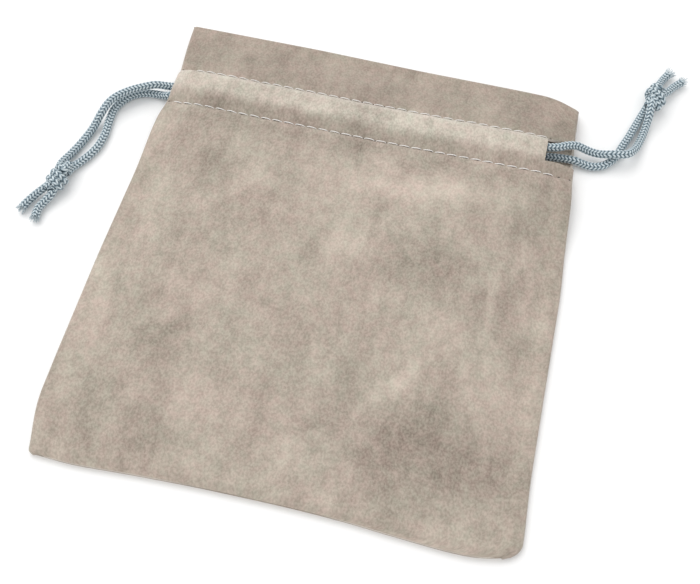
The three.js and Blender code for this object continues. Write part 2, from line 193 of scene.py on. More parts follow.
LEFT_BACK_STRAND = [
    (-45, 40.8, 1.93), (-50, 40.8, 1.93), (-54.5, 40.8, 2.11), (-57.4, 40.7, 2.4), (-59.7, 40.95, 1.45),
    (-61.6, 41.1, 1.2), (-65.5, 40.6, 1.2), (-68.3, 39.2, 1.2), (-70.8, 36.2, 1.2), (-72, 32.9, 1.2),
    (-71.9, 28.6, 1.2), (-71.5, 24.4, 1.2), (-71.8, 20.2, 1.2), (-73, 16.7, 1.2), (-74.8, 13.4, 1.3),
    (-75.9, 11.4, 1.6), (-76.6, 8.8, 2.2),
]


def smooth_line(points, step):
    """Even points, step apart, along the centripetal Catmull-Rom curve through the given ones."""
    p = [Vector(q) for q in points]
    p = [2 * p[0] - p[1], *p, 2 * p[-1] - p[-2]]
    fine = []
    for k in range(1, len(p) - 2):
        a, b, c, d = p[k - 1:k + 3]
        ta = math.sqrt((b - a).length)
        tb = ta + math.sqrt((c - b).length)
        tc = tb + math.sqrt((d - c).length)
        count = max(int((c - b).length / step * 2), 4)
        for n in range(count):
            t = ta + (tb - ta) * n / count
            ab, bc, cd = a.lerp(b, t / ta), b.lerp(c, (t - ta) / (tb - ta)), c.lerp(d, (t - tb) / (tc - tb))
            abc, bcd = ab.lerp(bc, t / tb), bc.lerp(cd, (t - ta) / (tc - ta))
            fine.append(abc.lerp(bcd, (t - ta) / (tb - ta)))
    fine.append(p[-2])
    total = sum((fine[k + 1] - fine[k]).length for k in range(len(fine) - 1))
    count = round(total / step)
    line, k, gone = [fine[0]], 0, 0.0
    for n in range(1, count):
        want = total * n / count
        while gone + (fine[k + 1] - fine[k]).length < want:
            gone += (fine[k + 1] - fine[k]).length
            k += 1
        part = (want - gone) / (fine[k + 1] - fine[k]).length
        line.append(fine[k].lerp(fine[k + 1], part))
    line.append(fine[-1])
    return line


def frames(line):
    """The two directions across the line at each point, carried along it without twisting."""
    ways = [(line[min(k + 1, len(line) - 1)] - line[max(k - 1, 0)]).normalized() for k in range(len(line))]
    side = ways[0].cross(Vector((0, 0, 1))).normalized()
    out = []
    for k, way in enumerate(ways):
        if k:
            side = ways[k - 1].rotation_difference(way) @ side
        side = (side - way * side.dot(way)).normalized()
        out.append((side, way.cross(side)))
    return out


def roll_tube(bm, line, across, sides, radius, along=0.0):
    """Rolls a grid up into a closed tube round the line. radius(k, turn, along) gives the radius and how
    high on its plait the place is."""
    uv = bm.loops.layers.uv.verify()
    plait = bm.verts.layers.float.get("plait") or bm.verts.layers.float.new("plait")
    rows = len(line) - 1
    made = bmesh.ops.create_grid(bm, x_segments=sides, y_segments=rows, size=0.5, calc_uvs=False)["verts"]
    seam, place = [], {}
    for vert in made:
        column, k = round((vert.co.x + 0.5) * sides), round((vert.co.y + 0.5) * rows)
        place[vert] = (column, k)
        if column in (0, sides):
            seam.append(vert)
    faces = {face for vert in made for face in vert.link_faces}
    for face in faces:
        face.smooth = True
        for loop in face.loops:
            column, k = place[loop.vert]
            loop[uv].uv = (column / sides * UV_ROUND, (along + k * BRAID_STEP) / UV_LENGTH)
    for vert, (column, k) in place.items():
        turn = (column % sides) / sides
        size, height = radius(k, turn, along + k * BRAID_STEP)
        angle = 2 * math.pi * turn
        vert.co = line[k] + size * (across[k][0] * math.cos(angle) + across[k][1] * math.sin(angle))
        vert[plait] = height
    bmesh.ops.remove_doubles(bm, verts=seam, dist=1e-5)
    rims = [edge for edge in bm.edges if edge.is_boundary]
    bmesh.ops.holes_fill(bm, edges=rims, sides=0)


def mix(a, b, t):
    return a + (b - a) * t


def braid_height(turn, along):
    """0 in the gaps between the yarns, 1 on top of them: V-shaped plaits side by side round the cord."""
    slant = abs(turn * BRAID_PLAITS % 1 - 0.5) * 2
    rib = abs(math.cos(math.pi * (along / BRAID_PITCH + slant * BRAID_SLANT)))
    surfaced = math.sin(math.pi * mix(DIVE_WIDTH, 1 - DIVE_WIDTH, slant))
    return rib ** RIB_FLATNESS * mix(DIVE_LEVEL, 1, surfaced ** RISE_FLATNESS)


def braid_radius(thick):
    """The radius of a braid of this thickness, for roll_tube."""
    def radius(k, turn, along):
        height = braid_height(turn, along)
        return thick / 2 - BRAID_RELIEF * (1 - height), height
    return radius


def finish_mesh(name, bm, finishes):
    """The object of a mesh built in millimetres, with its normals pointing outwards."""
    bmesh.ops.recalc_face_normals(bm, faces=bm.faces)
    bmesh.ops.scale(bm, vec=(MM, MM, MM), verts=bm.verts)
    mesh = bpy.data.meshes.new(name)
    bm.to_mesh(mesh)
    bm.free()
    for finish in finishes:
        mesh.materials.append(finish)
    return link(name, mesh)


# Yarn: grey-blue polyester, with painted highlight on top of each plait and painted shade where it dives
# under the next.
braid, tree, shader = new_finish("grey_blue_braid", Roughness=0.5, Specular_IOR_Level=0.45, Sheen_Weight=0.15)
height = add_node(tree, "ShaderNodeAttribute", attribute_name="plait").outputs["Fac"]
ramp = add_node(tree, "ShaderNodeValToRGB", {"Fac": height})
ramp.color_ramp.elements[0].position, ramp.color_ramp.elements[1].position = 0.22, 0.88
ramp.color_ramp.elements[0].color, ramp.color_ramp.elements[1].color = YARN_GAP_PAINTED_SHADE, YARN_CROWN_PAINTED_HIGHLIGHT
ramp.color_ramp.elements.new(0.58).color = YARN_MIDDLE
run_of_yarn = add_node(tree, "ShaderNodeUVMap").outputs[0]
stretch = add_node(tree, "ShaderNodeMapping", {
    "Vector": run_of_yarn, "Scale": (1500.0, 1500.0, 1500.0)}).outputs[0]
fibres = add_node(tree, "ShaderNodeTexNoise", {"Vector": stretch, "Scale": 1.0, "Detail": 2.0}).outputs["Fac"]
shade = fade(tree, fibres, 0.3, 0.7, 0.82, 1.12)
yarn_colour = colour_mix(tree, 1.0, ramp.outputs["Color"], shade, "MULTIPLY")
tree.links.new(yarn_colour, shader.inputs["Base Color"])
bump = add_node(tree, "ShaderNodeBump", {"Height": fibres, "Strength": 0.35, "Distance": 0.00008}).outputs[0]
tree.links.new(bump, shader.inputs["Normal"])


def knot_lines(centre, heading, length, wide, tall, turns, lean):
    """The two strands of a tight overhand knot: one wraps round, the other goes through the middle.
    heading is the way from the strands to the tails, and lean is how far the wraps slope along it."""
    along = Vector((math.cos(heading), math.sin(heading), 0))
    over = Vector((-along.y, along.x, 0))
    up = Vector((0, 0, 1))

    def place(a, b, c):
        return Vector(centre) + along * a + over * b + up * c

    start, steps_a_turn, narrowing = math.radians(75), 12, 0.14
    wrap = [place(-length * 0.62, wide * 0.12, tall * 0.25)]
    count = int(steps_a_turn * turns)
    for k in range(count + 1):
        angle = start + 2 * math.pi * turns * k / count
        a = length * (k / count - 0.5) * 0.62 + lean * math.cos(angle)
        swell = 1 - narrowing * (2 * k / count - 1) ** 2
        wrap.append(place(a, wide * swell * math.cos(angle), tall * swell * math.sin(angle)))
    wrap.append(place(length * 0.52, wide * 0.5, 0.0))
    core = [place(-length * 0.55, -0.4, -0.5), place(-1, 0.2, 0), place(1, -0.3, 0.1)]
    core.append(place(length * 0.5, -0.9, 0.1))
    return wrap, core


FIBRES, FIBRE_SIDES = 46, 5


def frayed_end(bm, tip, way, spread):
    """Loose fibres at the cut end of the braid, each a fine tapered tube that stays above the table."""
    across = way.cross(Vector((0, 0, 1))).normalized()
    up = across.cross(way)
    for _ in range(FIBRES):
        angle, out = fray.uniform(0, 2 * math.pi), math.sqrt(fray.random())
        turn = across * math.cos(angle) + up * math.sin(angle)
        root = tip - way * 0.5 + turn * out * CORD * 0.36
        long = fray.uniform(0.9, 2.0) * spread
        middle, end = way * long * 0.5 + turn * out * 0.25, way * long + turn * out * spread * 0.75
        points = [root, root + middle, root + end]
        line = [Vector((q.x, q.y, max(q.z, 0.12))) for q in smooth_line(points, long / 4)]
        thick = fray.uniform(0.09, 0.14)
        # The 0.8 gives the loose fibres the pale, painted-highlight end of the braid's colour ramp.
        size = lambda k, turn, along: (thick * (1 - 0.5 * k / len(line)), 0.8)
        roll_tube(bm, line, frames(line), FIBRE_SIDES, size)


def drawcord(side, front, bight, back, knot, tails):
    """One cord: its hidden run, two strands, knot and tails; the run, the knot and the tails each on its
    body.
    """
    whole = smooth_line([*front, *bight, *back], BRAID_STEP)
    across = frames(whole)
    sign = 1 if side == "right" else -1
    inside = [k for k, p in enumerate(whole) if sign * p.x <= INSIDE_X]
    cuts = {
        "front_strand": (0, inside[0]),
        "inside_casing": (inside[0], inside[-1]),
        "back_strand": (inside[-1], len(whole) - 1),
    }
    pieces = {}
    for part, (first, last) in cuts.items():
        bm = bmesh.new()
        roll_tube(bm, whole[first:last + 1], across[first:last + 1], BRAID_SIDES, braid_radius(CORD),
                  first * BRAID_STEP)
        pieces[part] = finish_mesh(f"{side}_cord_{part}", bm, [braid])
    bm = bmesh.new()
    for points in knot_lines(**knot):
        line = smooth_line(points, BRAID_STEP)
        roll_tube(bm, line, frames(line), BRAID_SIDES, braid_radius(KNOT_CORD))
    pieces["knot"] = finish_mesh(f"{side}_cord_overhand_knot", bm, [braid])
    for n, (points, spread) in enumerate(tails, 1):
        bm = bmesh.new()
        line = smooth_line(points, BRAID_STEP)
        plain = braid_radius(TAIL_CORD)
        loose = lambda k, turn, along: (plain(k, turn, along)[0] * (1 + 0.10 * (k / len(line)) ** 3),
                                        plain(k, turn, along)[1])
        roll_tube(bm, line, frames(line), BRAID_SIDES, loose)
        frayed_end(bm, line[-1], (line[-1] - line[-8]).normalized(), spread)
        pieces[f"tail_{n}"] = finish_mesh(f"{side}_cord_frayed_tail_{n}", bm, [braid])
    body, end_body = f"{side}_cord", f"{side}_cord_end"
    for part, node in (("front_strand", "front_end"), ("back_strand", "back_end")):
        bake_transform(pieces[part])
        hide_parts(f"{side}_cord_{node}")
    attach(pieces["inside_casing"], body)
    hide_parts(f"{side}_cord_run")
    for part in ("knot", "tail_1", "tail_2"):
        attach(pieces[part], end_body)
        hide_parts(f"{side}_cord_{part}")
    for part, (first, last) in cuts.items():
        line = whole[first:last + 1]
        line = line[::-1] if part == "front_strand" else line


fray = random.Random(11)
RIGHT_KNOT = {"centre": (76.8, 72.1, 3.0), "heading": math.radians(66), "length": 7.0,
              "wide": 2.35, "tall": 1.55, "turns": 2.0, "lean": 0.9}
LEFT_KNOT = {"centre": (-77.7, 6.3, 2.9), "heading": math.radians(-104), "length": 8.4,
             "wide": 1.85, "tall": 1.5, "turns": 2.5, "lean": 0.8}

# Each tail is the line of its braid and how far its fibres spread.
RIGHT_TAILS = [
    ([(76.9, 73.2, 3.0), (77.2, 76.1, 2.5), (78.5, 79.9, 1.6), (80, 82.6, 1.5)], 1.2),
    ([(77.8, 73.0, 3.0), (80, 75.2, 2.4), (81.9, 78.3, 1.6), (83.9, 80.5, 1.5)], 1.0),
]
LEFT_TAILS = [
    ([(-78.6, 5.4, 2.8), (-80.4, 3.2, 2.2), (-82.4, 0.6, 1.6), (-83.5, -1.6, 1.5), (-84.3, -3.8, 1.5)], 1.0),
    ([(-77.6, 4.4, 2.8), (-78.0, 1.4, 2.1), (-79.3, -1.2, 1.6), (-80, -3.4, 1.5), (-79.7, -6, 1.5)], 0.8),
]
drawcord("right", RIGHT_FRONT_STRAND, RIGHT_BIGHT, RIGHT_BACK_STRAND, RIGHT_KNOT, RIGHT_TAILS)
drawcord("left", LEFT_FRONT_STRAND, LEFT_BIGHT, LEFT_BACK_STRAND, LEFT_KNOT, LEFT_TAILS)


# ---------------------------------------------------------------- the two cloth panels
# Brushed suede-look cloth, 0.6 mm thick. Each panel is cut about 120 by 165 mm, and its mouth edge is
# turned in as a hem, which two rows of stitches make into a casing. Each is made in a left and a right half.
CLOTH = 0.6
HALF_WIDTH = 59.0
BOTTOM = -66.5
FRONT_FOLD, BACK_FOLD = 65.2, 66.5
CASING_LOW, CASING_HIGH = 36.5, 48.3
CASING_MIDDLE = (CASING_LOW + CASING_HIGH) / 2
HEM_END = 33.0
FOLD_SPACING = 0.9
FOLD_RADIUS = FOLD_SPACING / 2
FOLD_LENGTH = math.pi * FOLD_RADIUS
STITCH = 3.3
FLAT = 200.0
LEFT_CORNER, RIGHT_CORNER = 1.0, 3.6

# How far in from its side edge the pouch is at its full height, at the casing and low on the body.
CASING_FADE, BODY_FADE = 11.0, 27.0

# Heights of the middle of the cloth above the table.
PILLOW, SIDE_OUTER, SIDE_BODY = 6.1, 3.75, 1.2
FRONT_CREST, FRONT_HEM_CREST, BACK_HEM_CREST, END_CREST = 7.7, 4.45, 3.55, 1.0
BACK_OUTER, ROW_LIFT, ROW_LIFT_REACH = 0.3, 0.75, 3.0
SIDE_CLIMB_FROM = 12.0

# The casing's puff, as shares of its half width above and below its middle, and where it dies out sideways.
PUFF_ABOVE, PUFF_BELOW = 0.49, 0.85
PUFF_END, PUFF_END_LENGTH = 57.5, 6.5

# How far up the pouch the uneven bottom edge, the lifted sides and the uneven mouth are felt.
BOTTOM_SWAY, SIDE_SWAY, MOUTH_SWAY = 45.0, 20.0, 15.0
SIDE_RISE = 1.4

# The outline: half widths at y from the bottom edge up to the mouth, then at x from left to right the
# bottom edge's y and how far the mouth's edge runs above or below its fold line.
LEFT_EDGE = [(-66.5, 55.9), (-62, 57.2), (-54, 59.0), (-40, 59.2), (-12, 59.3), (14, 58.8), (30, 58.1),
             (39, 57.0), (47.5, 56.9), (58, 58.0), (67, 58.5)]
RIGHT_EDGE = [(-66.5, 59.2), (-61, 59.2), (-47, 58.7), (-24, 58.8), (4.5, 59.0), (32, 57.7), (37.5, 57.2),
              (46, 56.7), (52, 56.2), (62, 56.2), (67, 56.0)]
BOTTOM_EDGE = [(-59, -66.2), (-46, -66.7), (-30, -65.6), (-16, -64.9), (0, -64.5), (10, -64.4), (21, -64.6),
               (30, -65.1), (43, -65.6), (50, -65.4), (55, -64.2), (59, -62.8)]
MOUTH_EDGE = [(-59, 0.7), (-20, 0.5), (10, -0.3), (40, -0.6), (49, -0.9), (56, -3.9), (59, -5.0)]


def ease(t):
    t = min(max(t, 0.0), 1.0)
    return t * t * (3 - 2 * t)


def straight_line(points, at):
    if at <= points[0][0]:
        return points[0][1]
    for (a, low), (b, high) in zip(points, points[1:]):
        if at <= b:
            return mix(low, high, (at - a) / (b - a))
    return points[-1][1]


def on_edge(points, at):
    """The line through given points with its corners rounded off, read at one place."""
    return sum(straight_line(points, at + shift) for shift in (-3, -1.5, 0, 1.5, 3)) / 5


def corner(y, radius):
    """How far the side edge draws in round its bottom corner."""
    missing = radius - min(y - BOTTOM, radius)
    return radius - math.sqrt(max(radius ** 2 - missing ** 2, 0))


def half_width(side, y):
    if side < 0:
        return on_edge(LEFT_EDGE, y) - corner(y, LEFT_CORNER)
    return on_edge(RIGHT_EDGE, y) - corner(y, RIGHT_CORNER)


def fullness(x, y, width):
    """0 at the side edge, 1 where the pouch is at its full height."""
    wide = mix(CASING_FADE, BODY_FADE, ease((CASING_LOW - 3 - y) / 23))
    return ease((width - abs(x)) / wide)


def puff(v):
    """0 at both stitch rows, 1 where the cords hold the casing up. v is -1 to 1 across the casing."""
    return ease((1 - abs(v)) / (PUFF_ABOVE if v > 0 else PUFF_BELOW))


def end_puff(x):
    return ease((PUFF_END - abs(x)) / PUFF_END_LENGTH)


def wave(x, y, size, seed):
    return noise.noise(Vector((x / size, y / size, seed)))


def front_levels(x, y, v, width):
    """Heights of the front's outer cloth and of its hem. v is None outside the casing."""
    full = fullness(x, y, width)
    if v is not None:
        outer_row = mix(SIDE_OUTER, PILLOW, full)
        hem_row, end = outer_row - FOLD_SPACING, end_puff(x)
        crest, hem_crest = mix(outer_row + END_CREST, FRONT_CREST, end), mix(hem_row, FRONT_HEM_CREST, end)
        return mix(outer_row, crest, puff(v)), mix(hem_row, hem_crest, puff(v))
    if y > CASING_MIDDLE:
        top = (y - CASING_HIGH) / (FRONT_FOLD - CASING_HIGH)
        outer = mix(SIDE_OUTER, mix(PILLOW, SIDE_OUTER, ease(top * 1.1)), full)
        return outer, outer - FOLD_SPACING
    side = mix(SIDE_BODY, SIDE_OUTER, ease((y - SIDE_CLIMB_FROM) / (HEM_END - SIDE_CLIMB_FROM)))
    rise = math.sin(math.pi / 2 * min(max((y - BOTTOM) / (CASING_LOW - 4 - BOTTOM), 0), 1))
    outer = mix(side, max(mix(SIDE_BODY, PILLOW, rise), side), full)
    return outer, outer - FOLD_SPACING


def back_levels(x, y, v, width):
    """The same for the back, which lies on the table with its hem on top."""
    near = min(abs(y - CASING_LOW), abs(y - CASING_HIGH))
    lift = ROW_LIFT * max(0, 1 - near / ROW_LIFT_REACH)
    if v is not None:
        outer = BACK_OUTER + ROW_LIFT * (1 - puff(v))
        hem_row = BACK_OUTER + ROW_LIFT + FOLD_SPACING
        return outer, mix(hem_row, mix(hem_row, BACK_HEM_CREST, end_puff(x)), puff(v))
    return BACK_OUTER + lift, BACK_OUTER + lift + FOLD_SPACING


def hump(distance, middle, spread):
    """1 at the middle, dying off smoothly on both sides."""
    return math.exp(-((distance - middle) / spread) ** 2)


def crease(distance, length):
    """How strong the creases that start at a stitch row still are, this far from it."""
    return math.exp(-distance / length) * (1 - math.exp(-distance / CREASE_START))


# In millimetres. The marks of a stitch row, then the waves of the cloth as (height, size, seed), then the
# ridge over the turned seam allowance and the dip inside it as (distance from the edge, spread).
GROOVE, NEEDLE_DIMPLE, PUCKER, SWELL = 0.16, 0.26, 0.20, 0.12
BULGES, RIPPLES = [(0.60, 36, 1.3), (0.26, 15, 4.1)], [(0.07, 6, 7.7)]
CREASE_START, BODY_CREASE, HEADER_CREASE = 1.6, 11.0, 8.0
SEAM_RIDGE, SEAM_DIP = (2.1, 1.0), (5.4, 1.6)


def waves(x, y, kinds):
    return sum(height * wave(x, y, size, seed) for height, size, seed in kinds)


def stitch_marks(x, y):
    """Each row of stitches sinks into the nap, with a dimple at each needle hole and puckers beside it."""
    sunk = 0.0
    for row in (CASING_LOW, CASING_HIGH):
        d = y - row
        if abs(d) < 6:
            to_hole = (x / STITCH - round(x / STITCH)) * STITCH
            sunk -= GROOVE * hump(d, 0, 0.6)
            sunk -= NEEDLE_DIMPLE * hump(math.hypot(to_hole, d), 0, 0.45)
            sunk += PUCKER * hump(abs(d), 1.6, 1.9) * wave(x, d * 0.3, 3.4, row)
            sunk += SWELL * hump(abs(d), 1.3, 1.0)
    return sunk


def front_relief(x, y, v, width):
    """How far the front's cloth stands up or sinks in from its smooth shape."""
    rise = waves(x, y, BULGES) * fullness(x, y, width) + waves(x, y, RIPPLES) + stitch_marks(x, y)
    under, over = CASING_LOW - y, y - CASING_HIGH
    if under > 0:
        rise += crease(under, BODY_CREASE) * 0.55 * wave(x, y * 0.22, 6.5, 12.5)
        rise += crease(under, BODY_CREASE) * 0.30 * wave(x, y * 0.3, 3.1, 2.5)
    if over > 0:
        rise += crease(over, HEADER_CREASE) * 0.35 * wave(x, y * 0.25, 6, 20.5)
    if v is not None:
        rise += puff(v) * 0.30 * wave(x, y * 0.5, 8, 31.5)
    from_side, from_bottom = width - abs(x), y - BOTTOM
    if y < CASING_LOW:
        rise += 0.32 * hump(from_side, *SEAM_RIDGE) - 0.16 * hump(from_side, *SEAM_DIP)
        rise += 0.28 * hump(from_bottom, *SEAM_RIDGE) - 0.12 * hump(from_bottom, *SEAM_DIP)
    return rise * ease(from_side / 0.9) * ease(from_bottom / 0.9)


def back_relief(x, y, v, width):
    """Only upwards: the back can't sink into the table."""
    rise = 0.12 + 0.12 * wave(x, y, 9, 3.3) - stitch_marks(x, y) * 0.5
    return max(rise, 0.0) * ease((width - abs(x)) / 1.2) * ease((y - BOTTOM) / 1.2)


PANELS = {
    "front": {"fold": FRONT_FOLD, "levels": front_levels, "relief": front_relief, "up": 1},
    "back": {"fold": BACK_FOLD, "levels": back_levels, "relief": back_relief, "up": -1},
}
EDGE_TURN = [0, 22, 45, 68, 90]
OUTER, HEM, FOLD = 0, 1, 2

# How round the cloth turns over at its side edge: along the seam, from the casing up, and on the hem.
OUTER_TURN, OPEN_TURN, HEM_TURN = 0.34, 1.0, 0.12
TURN_OPENS_FROM, TURN_OPENS_OVER = 31, 6
HEM_INSET = 0.8


def outer_length(panel):
    """Length of cloth from the bottom edge to where its mouth fold begins."""
    return PANELS[panel]["fold"] - FOLD_RADIUS - BOTTOM


def cloth_place(panel, side, across, t, turn=0.0):
    """Where the middle of the cloth is. across is 0 to 1 from the centre line to the side, t is the
    length of cloth up from the bottom edge, and turn is how far its side edge has turned over."""
    spec = PANELS[panel]
    straight = outer_length(panel)
    over = (t - straight) / FOLD_LENGTH
    layer = OUTER if over <= 0.5 else HEM
    if over <= 0:
        y = BOTTOM + t
    elif over < 1:
        y = BOTTOM + straight
    else:
        y = BOTTOM + (straight - (t - straight - FOLD_LENGTH))
    v = (y - CASING_MIDDLE) / (CASING_HIGH - CASING_MIDDLE)
    v = v if abs(v) <= 1 else None
    width = half_width(side, y)
    opening = ease((y - TURN_OPENS_FROM) / TURN_OPENS_OVER)
    edge = mix(OUTER_TURN, OPEN_TURN, opening) if layer == OUTER else HEM_TURN
    reach = width - edge - (HEM_INSET if over >= 1 else 0.0)
    angle = math.radians(turn)
    x = side * (reach * across + edge * math.sin(angle))
    levels = spec["levels"](x, y, v, width)
    z = levels[layer]
    if 0 < over < 1:
        mid, half = (levels[OUTER] + levels[HEM]) / 2, (levels[OUTER] - levels[HEM]) / 2
        z = mid + half * math.cos(math.pi * over)
    if over <= 0:
        z += spec["relief"](x, y, v, width) * ease((spec["fold"] - 0.6 - y) / 3)
    z -= spec["up"] * edge * (1 - math.cos(angle)) * (1 if layer == OUTER else -1)
    flatness = 1 - fullness(x, y, width)
    place_y = y + SIDE_RISE * ease(1 - abs(y - CASING_MIDDLE) / SIDE_SWAY) * flatness
    if 0 < over < 1:
        place_y += FOLD_RADIUS * math.sin(math.pi * over)
    near_bottom = max(1 - (y - BOTTOM) / BOTTOM_SWAY, 0) ** 2
    place_y += (on_edge(BOTTOM_EDGE, x) - BOTTOM) * near_bottom
    place_y += on_edge(MOUTH_EDGE, x) * ease((y - CASING_HIGH - 1) / MOUTH_SWAY)
    return Vector((x, place_y, z))


def stations(panel):
    """Lengths of cloth from the bottom edge, closer together near the stitches, the casing and the folds."""
    straight = outer_length(panel)
    fold_end = straight + FOLD_LENGTH
    low, high = CASING_LOW - BOTTOM, CASING_HIGH - BOTTOM
    spans = [(0, 3, 0.4), (3, low - 14, 1.1), (low - 14, low - 2.4, 0.7), (low - 2.4, low + 2.4, 0.27),
             (low + 2.4, high - 2.4, 0.5), (high - 2.4, high + 2.4, 0.27), (high + 2.4, straight - 1.5, 0.7),
             (straight - 1.5, straight, 0.3), (straight, fold_end, 0.18), (fold_end, fold_end + 3, 0.6),
             (fold_end + 3, fold_end + straight - (HEM_END - BOTTOM), 1.1)]
    out = [0.0]
    for a, b, step in spans:
        count = max(round((b - a) / step), 1)
        out += [a + (b - a) * k / count for k in range(1, count + 1)]
    return out


def cut_out(bm, faces_of, x, low, high, side):
    """Cuts a slot's outline into the faces with three planes and takes away what is inside it.
    low and high are each the y of one long side of the slot at x, and how much it climbs per mm outwards."""
    around, climb_room = 3, 5

    def line(edge, at):
        return edge[0] + edge[1] * (side * at - side * x)

    planes = [((x, 0, 0), (1, 0, 0))]
    planes += [((x, edge[0], 0), (-side * edge[1], 1, 0)) for edge in (low, high)]
    for origin, normal in planes:
        near = [f for f in bm.faces if faces_of(f) and side * f.calc_center_median().x > side * x - around
                and low[0] - around < f.calc_center_median().y < high[0] + climb_room]
        geometry = {g for f in near for g in (f, *f.edges, *f.verts)}
        bmesh.ops.bisect_plane(bm, geom=list(geometry), dist=1e-4, plane_co=origin, plane_no=normal)
    gone = []
    for face in bm.faces:
        middle = face.calc_center_median()
        between = line(low, middle.x) < middle.y < line(high, middle.x)
        if faces_of(face) and side * middle.x > side * x and between:
            gone.append(face)
    bmesh.ops.delete(bm, geom=gone, context="FACES")


COLUMNS = 108
NEAR = 0.01
SHARP_CREASE = math.radians(55)


def cloth_half(panel, side, slots, finishes):
    """One half of a panel: a grid laid along the pouch, turned over at the mouth, cut at the slots."""
    lengths = stations(panel)
    rows, columns = len(lengths) - 1, COLUMNS + len(EDGE_TURN) - 1
    bm = bmesh.new()
    uv = bm.loops.layers.uv.verify()
    layer = bm.faces.layers.int.new("hem")
    made = bmesh.ops.create_grid(bm, x_segments=columns, y_segments=rows, size=0.5)["verts"]
    place = {v: (round((v.co.x + 0.5) * columns), round((v.co.y + 0.5) * rows)) for v in made}
    fold_start = outer_length(panel) + NEAR
    hem_start = outer_length(panel) + FOLD_LENGTH - NEAR
    for face in bm.faces:
        face.smooth = True
        t = max(lengths[place[vert][1]] for vert in face.verts)
        face[layer] = OUTER if t <= fold_start else HEM if t > hem_start else FOLD
        for loop in face.loops:
            column, row = place[loop.vert]
            loop[uv].uv = (0.5 + side * column / COLUMNS * HALF_WIDTH / FLAT, lengths[row] / FLAT)
    for vert, (column, row) in place.items():
        turn = EDGE_TURN[max(column - COLUMNS, 0)]
        vert.co = cloth_place(panel, side, min(column / COLUMNS, 1.0), lengths[row], turn)
    for wanted, x, low, high in slots:
        cut_out(bm, lambda f: f[layer] == wanted, x, low, high, side)
    if side * PANELS[panel]["up"] < 0:
        bmesh.ops.reverse_faces(bm, faces=bm.faces)
    bmesh.ops.scale(bm, vec=(MM, MM, MM), verts=bm.verts)
    name = f"{panel}_cloth_{'right' if side > 0 else 'left'}"
    sheet_mesh = bpy.data.meshes.new(name + "_sheet")
    bm.to_mesh(sheet_mesh)
    bm.free()
    flat_piece = link(name + "_sheet", sheet_mesh)
    for finish in finishes:
        sheet_mesh.materials.append(finish)
    thick = flat_piece.modifiers.new("cloth", "SOLIDIFY")
    thick.thickness, thick.offset = CLOTH * MM, 0.0
    thick.material_offset_rim = 1
    graph = bpy.context.evaluated_depsgraph_get()
    whole = bpy.data.meshes.new_from_object(flat_piece.evaluated_get(graph))
    bpy.data.objects.remove(flat_piece)
    whole.name = name
    whole.set_sharp_from_angle(angle=SHARP_CREASE)
    piece = link(name, whole)
    gather(piece)
    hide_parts(f"{panel}_panel")
    return piece


def gather(piece):
    """Bakes the piece's placement into its mesh."""
    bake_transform(piece)


def nap_group():
    """Brushed nap: where the pile has been stroked lighter or darker, and its fine grain. Sizes are in mm."""
    group = bpy.data.node_groups.new("brushed_nap", "ShaderNodeTree")
    for name, kind in (("Flat", "NodeSocketVector"), ("Shift", "NodeSocketFloat")):
        group.interface.new_socket(name, in_out="INPUT", socket_type=kind)
    for name in ("Patches", "Strokes", "Mottle", "Grain"):
        group.interface.new_socket(name, in_out="OUTPUT", socket_type="NodeSocketFloat")
    inside = add_node(group, "NodeGroupInput")
    out = add_node(group, "NodeGroupOutput")
    flat, shift = inside.outputs["Flat"], inside.outputs["Shift"]
    offset = add_node(group, "ShaderNodeCombineXYZ", {"X": shift, "Y": shift, "Z": shift}).outputs[0]

    def layer(size, detail, rotate=0.0, squeeze=1.0, distortion=0.0, roughness=0.5):
        scale = FLAT / size
        mapped = add_node(group, "ShaderNodeMapping", {
            "Vector": flat, "Rotation": (0, 0, rotate), "Scale": (scale, scale * squeeze, 1)}).outputs[0]
        moved = add_node(group, "ShaderNodeVectorMath", {0: mapped, 1: offset}, operation="ADD").outputs[0]
        return add_node(group, "ShaderNodeTexNoise", {
            "Vector": moved, "Scale": 1.0, "Detail": detail, "Distortion": distortion,
            "Roughness": roughness}).outputs["Fac"]

    patches = layer(26, 3, 0.5, 0.8, 1.2)
    strokes = layer(9, 2, -0.6, 0.33, 0.8)
    mottle = layer(3.4, 3, 0.3, 0.8, 0.4, 0.6)
    grain = layer(0.55, 2, 0.0, 0.8, 0.0, 0.7)
    for name, value in (("Patches", patches), ("Strokes", strokes), ("Mottle", mottle), ("Grain", grain)):
        group.links.new(value, out.inputs[name])
    return group


def mark_group():
    """One soft place that a hand has brushed, or a band of painted shade: an oval, added to the running total
    of such marks.
    """
    group = bpy.data.node_groups.new("nap_or_shade_mark", "ShaderNodeTree")
    for name in ("Flat", "Place", "Turn", "Size"):
        group.interface.new_socket(name, in_out="INPUT", socket_type="NodeSocketVector")
    for name in ("Strength", "Total"):
        group.interface.new_socket(name, in_out="INPUT", socket_type="NodeSocketFloat")
    group.interface.new_socket("Total", in_out="OUTPUT", socket_type="NodeSocketFloat")
    inside = add_node(group, "NodeGroupInput").outputs
    moved = add_node(group, "ShaderNodeMapping", {
        "Vector": inside["Flat"], "Location": inside["Place"], "Rotation": inside["Turn"],
        "Scale": inside["Size"]}, vector_type="TEXTURE").outputs[0]
    away = add_node(group, "ShaderNodeVectorMath", {0: moved}, operation="LENGTH").outputs["Value"]
    near = fade(group, away, 1.15, 0.15)
    total = math_node(group, "MULTIPLY_ADD", near, inside["Strength"], inside["Total"])
    group.links.new(total, add_node(group, "NodeGroupOutput").inputs["Total"])
    return group


NAP, MARK = nap_group(), mark_group()
